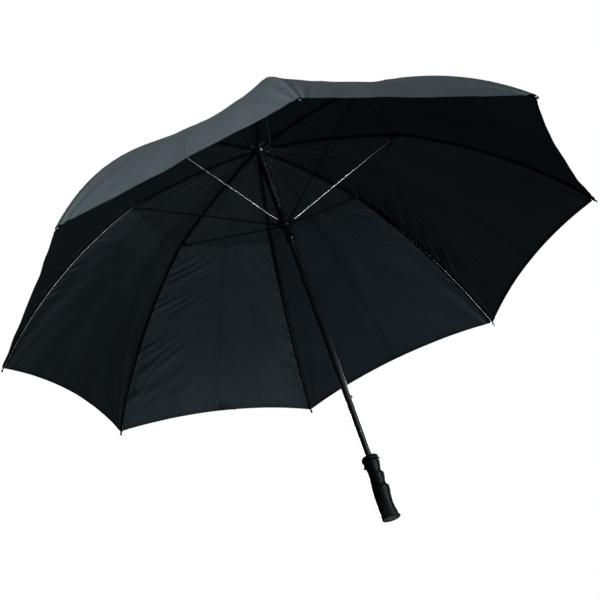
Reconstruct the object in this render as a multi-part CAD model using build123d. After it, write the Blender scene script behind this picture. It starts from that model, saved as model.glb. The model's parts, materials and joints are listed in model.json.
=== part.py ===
from build123d import *
import math
import os

# Golf umbrella, open. Millimetres. Origin at the centre of the handle's end face, +Z up the shaft.
# Eight ribs at 45 degree steps, rib 1 along +X. Finger grooves face +X, the push button faces -X.

# ---- driving dimensions -------------------------------------------------------------------
N_RIBS = 8
TIP_R = 650.0            # radius of the rib tips from the shaft axis
TIP_Z = 540.0            # height of the rib tips
NOTCH_R, NOTCH_Z = 11.0, 892.0        # rib pivot ring in the top notch
RIVET_R, RIVET_Z = 289.0, 833.0       # rivet that joins stretcher and rib
RUN_R, RUN_Z = 12.5, 697.0            # stretcher pivot ring in the runner
RIB_AT_RIVET = (291.4, 839.6)         # rib centreline above the rivet
FLEX = (300.9, 836.4)                 # where the flexible outer rod leaves the rib joint
INNER_BULGE = 8.6                     # rise of the inner rib's arc over its chord
OUTER_BULGE = 29.5                    # rise of the outer rod's arc over its chord

SHAFT_R, SHAFT_WALL = 7.0, 0.9
SHAFT_Z0, SHAFT_Z1 = 14.0, 915.0

CHANNEL_W, CHANNEL_H, CHANNEL_T = 4.4, 3.8, 0.7   # inner rib, a rolled steel channel
BLADE_T = 1.6                                     # flattened rib and stretcher ends
WIRE_R = 0.8                                      # pivot rings
EYE_R = 0.88                                      # eyes that run on the pivot rings
ROD_R = 1.75                                      # outer glass-fibre rod
TIP_CAP_R, TIP_CAP_L = 2.9, 23.0
STRETCH_R, FERRULE_R, FERRULE_L = 1.5, 2.1, 25.0
RIVET_PIN_R, RIVET_EYE_R = 1.1, 1.16

SPRING_R, SPRING_WIRE = 8.15, 0.75                # coil spring over the shaft
SPRING_Z0, SPRING_Z1, SPRING_TURNS = 729.6, 882.6, 18

CLOTH_T = 0.8                                     # canopy thickness
CLOTH_HEM_R = 588.0                               # lowest radius of the scalloped hem, mid panel
CLOTH_R0 = 17.0                                   # hole under the ferrule's flange

GRIP_Z = 133.0
BUTTON_Z, BUTTON_TRAVEL = 117.0, 3.0

os.makedirs("parts", exist_ok=True)


def save(name, shape):
    shape.label = name
    export_step(shape, "parts/" + name + ".step")
    print(name, len(shape.solids()), round(shape.volume, 1))


def one(shape):
    """The single solid of a result."""
    s = shape.solids()
    if len(s) != 1:
        print("   !! solids:", [round(x.volume, 2) for x in s])
    return s[0] if len(s) == 1 else shape


def xz(points):
    """Closed face in the XZ plane from (x, z) points."""
    return make_face(Polyline(*[(x, 0, z) for x, z in points], close=True))


def ring_solid(r0, r1, z0, z1):
    body = Pos(0, 0, (z0 + z1) / 2) * Cylinder(r1, z1 - z0)
    if r0 > 0:
        body -= Pos(0, 0, (z0 + z1) / 2) * Cylinder(r0, z1 - z0 + 2)
    return body


def turned(profile):
    """Solid of revolution about Z from (r, z) points."""
    return revolve(xz(profile), Axis.Z, 360)


def spin(shape, k):
    return Rot(0, 0, 45.0 * k) * shape


def bar(p, q, r):
    """Round bar between two points of the XZ plane."""
    dx, dz = q[0] - p[0], q[1] - p[1]
    length = math.hypot(dx, dz)
    pl = Plane(origin=(p[0], 0, p[1]), z_dir=(dx, 0, dz))
    return pl * Pos(0, 0, length / 2) * Cylinder(r, length)


def slab(p, q, half_h, thick):
    """Flat bar along p-q in the XZ plane: half_h each side of the line, thick across Y."""
    dx, dz = q[0] - p[0], q[1] - p[1]
    length = math.hypot(dx, dz)
    pl = Plane(origin=(p[0], 0, p[1]), x_dir=(0, 1, 0), z_dir=(dx, 0, dz))
    return pl * Pos(0, 0, length / 2) * Box(thick, 2 * half_h, length)


def disc_y(p, r, thick):
    """Short cylinder along Y, centred on p in the XZ plane."""
    return Pos(p[0], 0, p[1]) * Rot(90, 0, 0) * Cylinder(r, thick)


def arc_points(a, b, bulge, n):
    """Points of the circular arc from a to b that stands bulge above its chord."""
    (x0, z0), (x1, z1) = a, b
    c = math.hypot(x1 - x0, z1 - z0)
    ux, uz = (x1 - x0) / c, (z1 - z0) / c
    nx, nz = -uz, ux
    rad = (c * c / 4 + bulge * bulge) / (2 * bulge)
    half = math.asin(c / 2 / rad)
    out = []
    for i in range(n + 1):
        t = -half + 2 * half * i / n
        s = c / 2 + rad * math.sin(t)
        h = rad * math.cos(t) - (rad - bulge)
        out.append((x0 + ux * s + nx * h, z0 + uz * s + nz * h))
    return out


def offset_arc(a, b, bulge, d):
    """Three points of the same arc moved out by d along its normals."""
    pts = arc_points(a, b, bulge, 2)
    (x0, z0), (x1, z1) = a, b
    c = math.hypot(x1 - x0, z1 - z0)
    ux, uz = (x1 - x0) / c, (z1 - z0) / c
    nx, nz = -uz, ux
    rad = (c * c / 4 + bulge * bulge) / (2 * bulge)
    cx, cz = (x0 + x1) / 2 - nx * (rad - bulge), (z0 + z1) / 2 - nz * (rad - bulge)
    return [(cx + (x - cx) * (rad + d) / rad, cz + (z - cz) * (rad + d) / rad) for x, z in pts]


def band(a, b, bulge, d0, d1, width):
    """Curved bar between two offsets of one arc, width across Y."""
    lo, hi = offset_arc(a, b, bulge, d0), offset_arc(a, b, bulge, d1)
    e = [
        ThreePointArc(*[(x, 0, z) for x, z in lo]),
        Line((lo[2][0], 0, lo[2][1]), (hi[2][0], 0, hi[2][1])),
        ThreePointArc(*[(x, 0, z) for x, z in hi[::-1]]),
        Line((hi[0][0], 0, hi[0][1]), (lo[0][0], 0, lo[0][1])),
    ]
    return extrude(make_face(e), amount=width / 2, dir=(0, 1, 0), both=True)


# ---- rib geometry shared by several pieces ------------------------------------------------
PIVOT = (NOTCH_R, NOTCH_Z)
RIVET = (RIVET_R, RIVET_Z)
RUNP = (RUN_R, RUN_Z)
TIP = (TIP_R, TIP_Z)
inner_arc = arc_points(PIVOT, RIB_AT_RIVET, INNER_BULGE, 60)
outer_arc = arc_points(FLEX, TIP, OUTER_BULGE, 60)


def rib_z(r):
    """Height of the rib's centreline at radius r."""
    pts = inner_arc + outer_arc
    for (x0, z0), (x1, z1) in zip(pts, pts[1:]):
        if x0 <= r <= x1:
            return z0 + (z1 - z0) * (r - x0) / (x1 - x0)
    return pts[0][1] if r < pts[0][0] else pts[-1][1]


# closing travel of the linkage, printed for the joint limits
a_len = math.hypot(RIVET_R - NOTCH_R, NOTCH_Z - RIVET_Z)
b_len = math.hypot(RIVET_R - RUN_R, RIVET_Z - RUN_Z)
open_a = math.degrees(math.atan2(NOTCH_Z - RIVET_Z, RIVET_R - NOTCH_R))
CLOSED_LEAN = 3.0                                  # rib's lean from the shaft when closed
fold = 90 - CLOSED_LEAN - open_a
j_closed = (NOTCH_R + a_len * math.sin(math.radians(CLOSED_LEAN)), NOTCH_Z - a_len * math.cos(math.radians(CLOSED_LEAN)))
psi = math.asin((j_closed[0] - RUN_R) / b_len)
run_closed = j_closed[1] - b_len * math.cos(psi)
rest_dir = math.degrees(math.atan2(RUN_Z - RIVET_Z, RUN_R - RIVET_R)) % 360
stretch_turn = (270 - math.degrees(psi)) - rest_dir + fold
flex_chord = math.degrees(math.atan2(FLEX[1] - TIP_Z, TIP_R - FLEX[0]))
flex_len = math.hypot(TIP_R - FLEX[0], FLEX[1] - TIP_Z)
fa = math.degrees(math.atan2(NOTCH_Z - FLEX[1], FLEX[0] - NOTCH_R)) + fold
fl = math.hypot(FLEX[0] - NOTCH_R, NOTCH_Z - FLEX[1])
flex_closed = (NOTCH_R + fl * math.cos(math.radians(fa)), NOTCH_Z - fl * math.sin(math.radians(fa)))
TIP_CLOSED_R = 25.0
flex_turn = flex_chord + fold - (90 + math.degrees(math.asin((flex_closed[0] - TIP_CLOSED_R) / flex_len)))
print("fold", round(fold, 4), "stretcher turn", round(stretch_turn, 4), "flex", round(flex_turn, 4),
      "runner travel", round(RUN_Z - run_closed, 3), "closed runner", round(run_closed, 2), "flex closed", flex_closed,
      "ratios", round(-stretch_turn / fold, 6), round(-flex_turn / fold, 6), round(-(RUN_Z - run_closed) / 1000 / math.radians(fold), 6))

# ---- shaft ----------------------------------------------------------------------------------
TOOTH_Z = run_closed - 34.0                        # catch tooth height, inside the closed runner's window
PIVOT_PIN_Z = 188.0
shaft = ring_solid(SHAFT_R - SHAFT_WALL, SHAFT_R, SHAFT_Z0, SHAFT_Z1)
shaft -= Pos(SHAFT_R, 0, TOOTH_Z) * Box(6, 3.6, 15)                      # slot for the catch tooth
shaft -= Pos(-SHAFT_R, 0, BUTTON_Z) * Rot(0, 90, 0) * Cylinder(1.7, 6)   # hole for the button's pin
shaft -= Pos(0, 0, PIVOT_PIN_Z) * Rot(90, 0, 0) * Cylinder(1.56, 20)     # cross hole for the lever's pin
save("shaft_tube", one(shaft))

# ---- top notch, its wire and the ferrule ---------------------------------------------------------
NOTCH_Z0, NOTCH_Z1, NOTCH_OD = 884.5, 900.0, 14.0


def slots(r_in, r_out, z0, z1, width):
    cut = None
    for k in range(N_RIBS):
        s = spin(Pos((r_in + r_out) / 2, 0, (z0 + z1) / 2) * Box(r_out - r_in, width, z1 - z0), k)
        cut = s if cut is None else cut + s
    return cut


notch = turned([(SHAFT_R, NOTCH_Z0), (NOTCH_OD - 2.5, NOTCH_Z0), (NOTCH_OD, NOTCH_Z0 + 3.5), (NOTCH_OD, NOTCH_Z1), (SHAFT_R, NOTCH_Z1)])
notch -= slots(8.6, 20, NOTCH_Z0 - 1, NOTCH_Z + 3.4, 2.4)
notch -= Pos(0, 0, NOTCH_Z) * Torus(NOTCH_R, WIRE_R + 0.05)
save("top_notch", one(notch))
save("notch_wire", one(Pos(0, 0, NOTCH_Z) * Torus(NOTCH_R, WIRE_R)))

ferrule = turned([(SHAFT_R, 900.0), (14.4, 900.0), (14.4, 898.9), (24.0, 898.2), (24.6, 899.0), (22.0, 900.8), (12.0, 903.0),
                  (9.2, 907.5), (8.4, 921.0), (6.6, 925.0), (4.5, 926.0), (4.5, 952.0), (2.8, 954.6), (0, 955.0),
                  (0, 915.2), (SHAFT_R, 915.2)])
save("ferrule_spike", one(ferrule))

# glossy plastic disc between the ribs and the cloth
disc = turned([(14.6, 894.55), (22.0, 894.1), (30.0, 892.9), (30.3, 893.2), (30.0, 893.5), (22.0, 894.7), (14.6, 895.15)])
save("under_disc", one(disc))

# ---- coil spring over the shaft --------------------------------------------------------------
pitch = (SPRING_Z1 - SPRING_Z0 - 2 * SPRING_WIRE) / SPRING_TURNS
path = Pos(0, 0, SPRING_Z0 + SPRING_WIRE) * Helix(pitch, pitch * SPRING_TURNS, SPRING_R)
spring = sweep(Plane(origin=path @ 0, z_dir=path % 0) * Circle(SPRING_WIRE), path=path, is_frenet=True)
save("pull_spring", one(Part(spring.wrapped)))

# ---- runner and its wire ------------------------------------------------------------------------
RUN_BORE = SHAFT_R + 0.08
runner = turned([(RUN_BORE, 654.0), (11.0, 654.0), (11.4, 654.8), (11.4, 657.2), (10.6, 658.4), (9.6, 660.0), (9.6, 686.5), (11.2, 690.5),
                 (15.2, 691.2), (15.2, 702.4), (12.0, 703.4), (8.8, 704.5), (8.5, 728.0), (8.0, 729.0), (RUN_BORE, 729.0)])
runner -= slots(9.9, 20, 689.0, 706.0, 2.4)
runner -= Pos(0, 0, RUN_Z) * Torus(RUN_R, WIRE_R + 0.05)
runner -= Pos(SHAFT_R + 1.5, 0, RUN_Z - 34.0) * Box(9, 4.4, 13.5)        # window for the catch tooth
save("runner", one(runner))
save("runner_wire", one(Pos(0, 0, RUN_Z) * Torus(RUN_R, WIRE_R)))

# ---- handle ----------------------------------------------------------------------------------------
# section stations: height, finger side (+X), thumb side (-X), half depth across Y
STATIONS = [
    (0.0, 17.6, 17.6, 17.2), (2.0, 18.6, 18.9, 18.4), (12.0, 17.2, 18.9, 17.8), (30.0, 15.0, 18.6, 16.6), (46.0, 17.4, 18.5, 17.4),
    (59.0, 19.4, 18.0, 17.8), (69.0, 16.6, 17.4, 16.8), (76.5, 14.8, 16.2, 15.6), (84.0, 16.6, 15.2, 15.4), (90.5, 17.7, 14.8, 15.6),
    (96.5, 15.2, 14.6, 14.8), (102.0, 13.3, 14.6, 14.4), (109.0, 14.8, 15.4, 15.0), (117.0, 16.6, 16.8, 16.4), (125.0, 16.8, 17.4, 16.8),
]
sections = []
for z, xp, xm, hy in STATIONS:
    sections.append(Pos((xp - xm) / 2, 0, z) * Ellipse((xp + xm) / 2, hy))
grip = loft(sections)
grip += turned([(0, 124.9), (16.8, 124.9), (18.4, 126.6), (18.6, 128.5), (18.6, 130.6), (17.2, 132.6), (15.0, GRIP_Z), (0, GRIP_Z)])
grip -= ring_solid(0, SHAFT_R, SHAFT_Z0, GRIP_Z + 1)
grip -= Pos(-13.5, 0, BUTTON_Z) * Box(15.0, 9.4, 14.4)                   # button pocket, down to the shaft
save("grip", one(Part(grip.wrapped)))

# ---- push button, its spring and the release lever -----------------------------------------------------
button = Pos(-16.2, 0, BUTTON_Z) * Box(5.6, 9.0, 14.0)
button = fillet(button.edges().filter_by(Axis.X), 2.6)
button += Pos(-19.0, 0, BUTTON_Z) * scale(Sphere(1.0), by=(1.6, 3.6, 5.6))
button -= Pos(-14.2, 0, BUTTON_Z) * Rot(0, 90, 0) * Cylinder(3.3, 2.4)   # spring seat
button += Pos(-8.6, 0, BUTTON_Z) * Rot(0, 90, 0) * Cylinder(1.2, 14.8)
save("push_button", one(button))

bs_len = -7.1 + 15.3
bs_path = Helix((bs_len - 0.8) / 5, bs_len - 0.8, 2.4)
bs = sweep(Plane(origin=bs_path @ 0, z_dir=bs_path % 0) * Circle(0.35), path=bs_path, is_frenet=True)
bs = Pos(-15.3 + 0.4, 0, BUTTON_Z) * Rot(0, 90, 0) * Part(bs.wrapped)
save("button_spring", one(bs))

lever = Pos(0, 0, (BUTTON_Z - 6 + TOOTH_Z + 6) / 2) * Box(1.2, 5.0, TOOTH_Z + 6 - BUTTON_Z + 6)
lever += Pos(0, 0, PIVOT_PIN_Z) * Box(4.2, 5.0, 8.0)
lever += Pos(0, 0, PIVOT_PIN_Z) * Rot(90, 0, 0) * Cylinder(1.5, 13.9)    # pivot pin through the shaft's walls
tooth = xz([(-0.6, TOOTH_Z - 6), (3.4, TOOTH_Z - 6), (8.6, TOOTH_Z - 1.5), (9.0, TOOTH_Z + 4.6), (5.6, TOOTH_Z + 5.2), (-0.6, TOOTH_Z + 5.2)])
lever += extrude(tooth, amount=1.5, dir=(0, 1, 0), both=True)
save("release_lever", one(lever))

# ---- one rib set, made along +X and turned into place ----------------------------------------------
s0 = inner_arc[0]
dirx, dirz = inner_arc[3][0] - s0[0], inner_arc[3][1] - s0[1]
dl = math.hypot(dirx, dirz)
blade_end = (s0[0] + dirx / dl * 13.0, s0[1] + dirz / dl * 13.0)


def arc_at(pts, x):
    for (x0, z0), (x1, z1) in zip(pts, pts[1:]):
        if x0 <= x <= x1:
            return (x, z0 + (z1 - z0) * (x - x0) / (x1 - x0))


def sub_arc(pts, x0, x1):
    """End points and bulge of the stretch of an arc between two radii."""
    p, q, m = arc_at(pts, x0), arc_at(pts, x1), arc_at(pts, (x0 + x1) / 2)
    c = math.hypot(q[0] - p[0], q[1] - p[1])
    nx, nz = -(q[1] - p[1]) / c, (q[0] - p[0]) / c
    return p, q, (m[0] - p[0]) * nx + (m[1] - p[1]) * nz


# inner rib: channel open to the cloth, flattened eye on the notch wire
p, q, h = sub_arc(inner_arc, 21.5, 284.0)
inner = band(p, q, h, -CHANNEL_H / 2, CHANNEL_H / 2, CHANNEL_W)
inner -= band(*sub_arc(inner_arc, 27.0, 290.0)[:2], sub_arc(inner_arc, 27.0, 290.0)[2], -CHANNEL_H / 2 + CHANNEL_T, CHANNEL_H, CHANNEL_W - 2 * CHANNEL_T)
inner += slab(s0, blade_end, 1.6, BLADE_T)
inner += disc_y(s0, 1.9, BLADE_T)
inner -= disc_y(s0, EYE_R, 10)
inner = one(inner)

# rib joint: pressed sleeve over the rib's end, two ears with the rivet, socket for the rod
JD = (math.cos(math.radians(-18.5)), math.sin(math.radians(-18.5)))


def along(p, s, n=0.0):
    return (p[0] + JD[0] * s - JD[1] * n, p[1] + JD[1] * s + JD[0] * n)


jr = RIB_AT_RIVET
joint = slab(along(jr, -20), along(jr, 11.2), 2.9, 6.4)
joint = fillet(joint.edges().filter_by(lambda e: e.length > 25), 1.2)
joint -= slab(along(jr, -21), along(jr, -6.9), 2.5, CHANNEL_W + 0.3)
ear = make_face(Polyline(*[(x, 0, z) for x, z in [along(jr, -5.5, -2.0), along(jr, 5.0, -2.0), along(RIVET, 2.6, 0.4), along(RIVET, 1.2, -2.6),
                                                along(RIVET, -1.2, -2.6), along(RIVET, -2.6, 0.4)]], close=True))
for side in (1, -1):
    joint += Pos(0, side * 2.05, 0) * extrude(ear, amount=0.95, dir=(0, 1, 0), both=True)
joint += disc_y(RIVET, RIVET_PIN_R, 5.0)
for side in (1, -1):
    joint += Pos(0, side * 3.35, 0) * disc_y(RIVET, 1.9, 0.9)
joint -= Pos(FLEX[0], 0, FLEX[1]) * Sphere(2.42)                         # socket for the rod's ball root
MD = (math.cos(math.radians(-14)), math.sin(math.radians(-14)))
mouth = [(FLEX[0] + MD[0] * s - MD[1] * n, FLEX[1] + MD[1] * s + MD[0] * n) for s, n in [(0, 2.0), (8, 7.3), (8, -7.3), (0, -2.0)]]
joint -= extrude(xz(mouth), amount=2.1, dir=(0, 1, 0), both=True)        # mouth that lets the rod swing
joint = one(joint)

# outer rod: round, slightly bowed, with a ball root in the joint's socket
pts3 = arc_points(FLEX, TIP, OUTER_BULGE, 2)
last = arc_points(FLEX, TIP, OUTER_BULGE, 200)
rod_end = last[196]
rod_mid = last[98]
rod_path = ThreePointArc((FLEX[0], 0, FLEX[1]), (rod_mid[0], 0, rod_mid[1]), (rod_end[0], 0, rod_end[1]))
rod = sweep(Plane(origin=rod_path @ 0, z_dir=rod_path % 0) * Circle(ROD_R), path=rod_path)
rod = Part(rod.wrapped) + Pos(FLEX[0], 0, FLEX[1]) * Sphere(2.3)
rod = one(rod)

# rib tip: crimped cap with a rounded nose and a sewing eye
tdx, tdz = last[200][0] - last[194][0], last[200][1] - last[194][1]
tl = math.hypot(tdx, tdz)
tdx, tdz = tdx / tl, tdz / tl
cap_plane = Plane(origin=(TIP[0], 0, TIP[1]), z_dir=(tdx, 0, tdz))
cap = cap_plane * Pos(0, 0, -TIP_CAP_L / 2) * Cylinder(2.5, TIP_CAP_L)
cap += cap_plane * Pos(0, 0, -2.0) * Sphere(TIP_CAP_R)
cap -= rod
solids = sorted(cap.solids(), key=lambda s: -s.volume)
cap = solids[0]

# stretcher: round rod with a crimped flattened eye at each end
sx, sz = RUNP[0] - RIVET[0], RUNP[1] - RIVET[1]
sl = math.hypot(sx, sz)
ux, uz = sx / sl, sz / sl


def on_s(d):
    return (RIVET[0] + ux * d, RIVET[1] + uz * d)


stretch = bar(on_s(14), on_s(sl - 14), STRETCH_R)
stretch += bar(on_s(9.5), on_s(9.5 + FERRULE_L), FERRULE_R)
stretch += bar(on_s(sl - 11.0 - FERRULE_L), on_s(sl - 11.0), FERRULE_R)
stretch += slab(on_s(0), on_s(13), 1.9, BLADE_T)
stretch += slab(on_s(sl - 14), on_s(sl), 1.5, BLADE_T)
stretch += disc_y(RIVET, 2.2, BLADE_T)
stretch += disc_y(RUNP, 1.9, BLADE_T)
stretch -= disc_y(RIVET, RIVET_EYE_R, 10)
stretch -= disc_y(RUNP, EYE_R, 10)
stretch = one(stretch)

# ---- canopy: one gore centred on each rib ---------------------------------------------------------
# Between two ribs the cloth is stretched straight across, so each half panel is part of a
# single-curved sheet. Its profile is the rib's, raised a little so the cloth clears the frame.
C225, S225 = math.cos(math.pi / 8), math.sin(math.pi / 8)


def cloth_under(r):
    lift = 3.6 + 2.0 * max(0.0, 1 - (r - 15.0) / 70.0) + 0.9 * math.exp(-(((r - 288.0) / 45.0) ** 2))
    slope = (rib_z(min(r + 4, TIP_R)) - rib_z(r - 4)) / (min(r + 4, TIP_R) - r + 4)
    n = math.hypot(1, slope)
    return (r - slope / n * lift, rib_z(r) + lift / n)


radii = [15.5, 24, 40, 70, 110, 160, 215, 262, 300, 340, 385, 430, 475, 520, 565, 610, 645]
under = [cloth_under(r) for r in radii]
under = [(r, z) for r, z in under]
first_z = under[0][1]
over = []
for i, (r, z) in enumerate(under):
    a, b = under[max(i - 1, 0)], under[min(i + 1, len(under) - 1)]
    dx, dz = b[0] - a[0], b[1] - a[1]
    n = math.hypot(dx, dz)
    over.append((r - dz / n * CLOTH_T, z + dx / n * CLOTH_T))
lo = [(r * C225, 0, z) for r, z in under]
hi = [(r * C225, 0, z) for r, z in over]
profile = make_face([Spline(*lo), Line(lo[-1], hi[-1]), Spline(*hi[::-1]), Line(hi[0], lo[0])])
sheet = extrude(profile, amount=320, dir=(0, 1, 0), both=True)
# the panel's plan: a 22.5 degree wedge each side of its centre line, with a scalloped hem
tip_xy = (649.0 * C225, 649.0 * S225)
hem = ThreePointArc((tip_xy[0], -tip_xy[1], 0), (CLOTH_HEM_R, 0, 0), (tip_xy[0], tip_xy[1], 0))
in_r = CLOTH_R0
inner_edge = ThreePointArc((in_r * C225, in_r * S225, 0), (in_r, 0, 0), (in_r * C225, -in_r * S225, 0))
plan = make_face([hem, Line((tip_xy[0], tip_xy[1], 0), (in_r * C225, in_r * S225, 0)), inner_edge,
                  Line((in_r * C225, -in_r * S225, 0), (tip_xy[0], -tip_xy[1], 0))])
panel = Pos(0, 0, 400) * extrude(plan, amount=600, dir=(0, 0, 1)) & sheet
half_a = panel & (Pos(325, 200, 700) * Box(700, 400, 900))      # y > 0 half
half_b = panel & (Pos(325, -200, 700) * Box(700, 400, 900))     # y < 0 half
gore = (Rot(0, 0, -22.5) * half_a) + (Rot(0, 0, 22.5) * half_b)
gore = one(Part(gore.wrapped))

for k in range(N_RIBS):
    n = str(k + 1)
    save("inner_rib_" + n, spin(inner, k))
    save("rib_joint_" + n, spin(joint, k))
    save("outer_rod_" + n, spin(rod, k))
    save("rib_tip_" + n, spin(cap, k))
    save("stretcher_" + n, spin(stretch, k))
    save("canopy_gore_" + n, spin(gore, k))
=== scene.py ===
import bpy
import json
import math
import numpy as np
from mathutils import Matrix, Vector

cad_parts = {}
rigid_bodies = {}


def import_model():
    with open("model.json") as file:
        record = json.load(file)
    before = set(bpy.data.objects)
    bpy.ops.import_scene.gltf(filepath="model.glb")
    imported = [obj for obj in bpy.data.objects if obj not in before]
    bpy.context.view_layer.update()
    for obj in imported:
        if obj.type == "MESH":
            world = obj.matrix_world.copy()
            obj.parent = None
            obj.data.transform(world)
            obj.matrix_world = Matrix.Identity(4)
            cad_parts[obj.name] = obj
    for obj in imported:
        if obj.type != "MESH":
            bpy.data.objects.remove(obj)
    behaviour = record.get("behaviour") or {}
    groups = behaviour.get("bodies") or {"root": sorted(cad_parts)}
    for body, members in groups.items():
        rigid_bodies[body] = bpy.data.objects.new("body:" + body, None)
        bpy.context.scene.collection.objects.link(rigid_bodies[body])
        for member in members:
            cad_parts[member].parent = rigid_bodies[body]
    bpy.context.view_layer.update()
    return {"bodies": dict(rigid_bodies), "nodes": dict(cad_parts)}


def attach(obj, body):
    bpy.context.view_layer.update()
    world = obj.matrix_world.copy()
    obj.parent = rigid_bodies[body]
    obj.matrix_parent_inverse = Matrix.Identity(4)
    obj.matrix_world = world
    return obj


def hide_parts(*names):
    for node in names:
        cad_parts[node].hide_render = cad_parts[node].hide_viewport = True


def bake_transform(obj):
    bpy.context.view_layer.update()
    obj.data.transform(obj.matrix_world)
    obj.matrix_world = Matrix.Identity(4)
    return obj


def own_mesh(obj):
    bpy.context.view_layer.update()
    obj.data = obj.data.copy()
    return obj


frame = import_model()
CAD = frame["nodes"]
N = 8
C225, S225 = math.cos(math.pi / 8), math.sin(math.pi / 8)
MM = 0.001

# ------------------------------------------------------------------------------------------
# helpers
# ------------------------------------------------------------------------------------------


def new_mesh(name, verts, faces, mat=None, smooth=True, uvs=None):
    """Mesh object from vertices in metres; uvs is one (u, v) per vertex."""
    me = bpy.data.meshes.new(name)
    me.from_pydata([tuple(map(float, v)) for v in verts], [], [tuple(int(i) for i in f) for f in faces])
    if uvs is not None:
        layer = me.uv_layers.new(name="flat")
        loop_v = np.zeros(len(me.loops), np.int32)
        me.loops.foreach_get("vertex_index", loop_v)
        layer.data.foreach_set("uv", np.asarray(uvs, np.float32)[loop_v].ravel())
    me.polygons.foreach_set("use_smooth", [smooth] * len(me.polygons))
    me.update()
    o = bpy.data.objects.new(name, me)
    bpy.context.scene.collection.objects.link(o)
    if mat is not None:
        me.materials.append(mat)
    return o


def grid_faces(rows, cols, wrap=False, flip=False):
    f = []
    m = cols if wrap else cols - 1
    for i in range(rows - 1):
        for j in range(m):
            a, b = i * cols + j, i * cols + (j + 1) % cols
            q = (a, b, b + cols, a + cols)
            f.append(q[::-1] if flip else q)
    return f


def frames_along(path):
    """Tangents, and two unit normals carried along the path without twist."""
    p = np.asarray(path, float)
    t = np.gradient(p, axis=0)
    t /= np.linalg.norm(t, axis=1)[:, None]
    up = np.array([0.0, 0.0, 1.0]) if abs(t[0][2]) < 0.9 else np.array([0.0, 1.0, 0.0])
    n = np.cross(up, t[0])
    n /= np.linalg.norm(n)
    ns = [n]
    for k in range(1, len(p)):
        n = ns[-1] - (ns[-1] @ t[k]) * t[k]
        n /= np.linalg.norm(n)
        ns.append(n)
    ns = np.array(ns)
    bs = np.cross(t, ns)
    return t, ns, bs


def tube(name, path, radius, mat, seg=14, caps=True, flat=None):
    """Round tube along a path. radius is one number or one per point; flat squeezes it along its first normal."""
    p = np.asarray(path, float)
    r = np.broadcast_to(np.asarray(radius, float), (len(p),))
    fl = np.ones(len(p)) if flat is None else np.asarray(flat, float)
    t, n, b = frames_along(p)
    a = np.linspace(0, 2 * math.pi, seg, endpoint=False)
    v = (p[:, None, :] + (r * fl)[:, None, None] * np.cos(a)[None, :, None] * n[:, None, :]
         + r[:, None, None] * np.sin(a)[None, :, None] * b[:, None, :]).reshape(-1, 3)
    f = grid_faces(len(p), seg, wrap=True)
    verts = list(v)
    if caps:
        f.append(tuple(range(seg))[::-1])
        f.append(tuple((len(p) - 1) * seg + k for k in range(seg)))
    return new_mesh(name, verts, f, mat)


def lathe(name, profile, mat, seg=48, matrix=None, closed_ends=True):
    """Revolve (r, z) points in metres about Z; matrix then places it."""
    v, f = [], []
    a = np.linspace(0, 2 * math.pi, seg, endpoint=False)
    for r, z in profile:
        v += [(max(r, 1e-5) * math.cos(x), max(r, 1e-5) * math.sin(x), z) for x in a]
    f = grid_faces(len(profile), seg, wrap=True)
    if closed_ends:
        f.append(tuple(range(seg))[::-1])
        f.append(tuple((len(profile) - 1) * seg + k for k in range(seg)))
    if matrix is not None:
        v = [matrix @ Vector(x) for x in v]
    return new_mesh(name, v, f, mat)


def join(name, objs):
    """One object out of several, keeping their faces and materials."""
    mats, verts, faces, mi, sm, uv = [], [], [], [], [], []
    has_uv = all(len(o.data.uv_layers) for o in objs)
    for o in objs:
        off = len(verts)
        verts += [tuple(o.matrix_world @ x.co) for x in o.data.vertices]
        idx = []
        for m in o.data.materials:
            if m not in mats:
                mats.append(m)
            idx.append(mats.index(m))
        for p in o.data.polygons:
            faces.append(tuple(off + i for i in p.vertices))
            mi.append(idx[p.material_index] if idx else 0)
            sm.append(p.use_smooth)
        if has_uv:
            uv += [tuple(x.uv) for x in o.data.uv_layers[0].data]
    me = bpy.data.meshes.new(name)
    me.from_pydata(verts, [], faces)
    for m in mats:
        me.materials.append(m)
    me.polygons.foreach_set("material_index", mi)
    me.polygons.foreach_set("use_smooth", sm)
    if has_uv:
        layer = me.uv_layers.new(name="flat")
        for d, c in zip(layer.data, uv):
            d.uv = c
    me.update()
    for o in objs:
        old = o.data
        bpy.data.objects.remove(o)
        bpy.data.meshes.remove(old)
    o = bpy.data.objects.new(name, me)
    bpy.context.scene.collection.objects.link(o)
    return o


def sharp_by_angle(o, deg):
    """Marks edges sharper than deg so that the smooth shading breaks there."""
    me = o.data
    ang = math.radians(deg)
    import bmesh
    bm = bmesh.new()
    bm.from_mesh(me)
    for e in bm.edges:
        e.smooth = not (len(e.link_faces) == 2 and e.calc_face_angle(0) > ang)
    bm.to_mesh(me)
    bm.free()


def rot_z(k):
    return Matrix.Rotation(math.radians(45 * k), 4, "Z")


def smoothstep(x, a, b):
    t = np.clip((x - a) / (b - a), 0, 1)
    return t * t * (3 - 2 * t)


# ------------------------------------------------------------------------------------------
# materials
# ------------------------------------------------------------------------------------------


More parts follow.
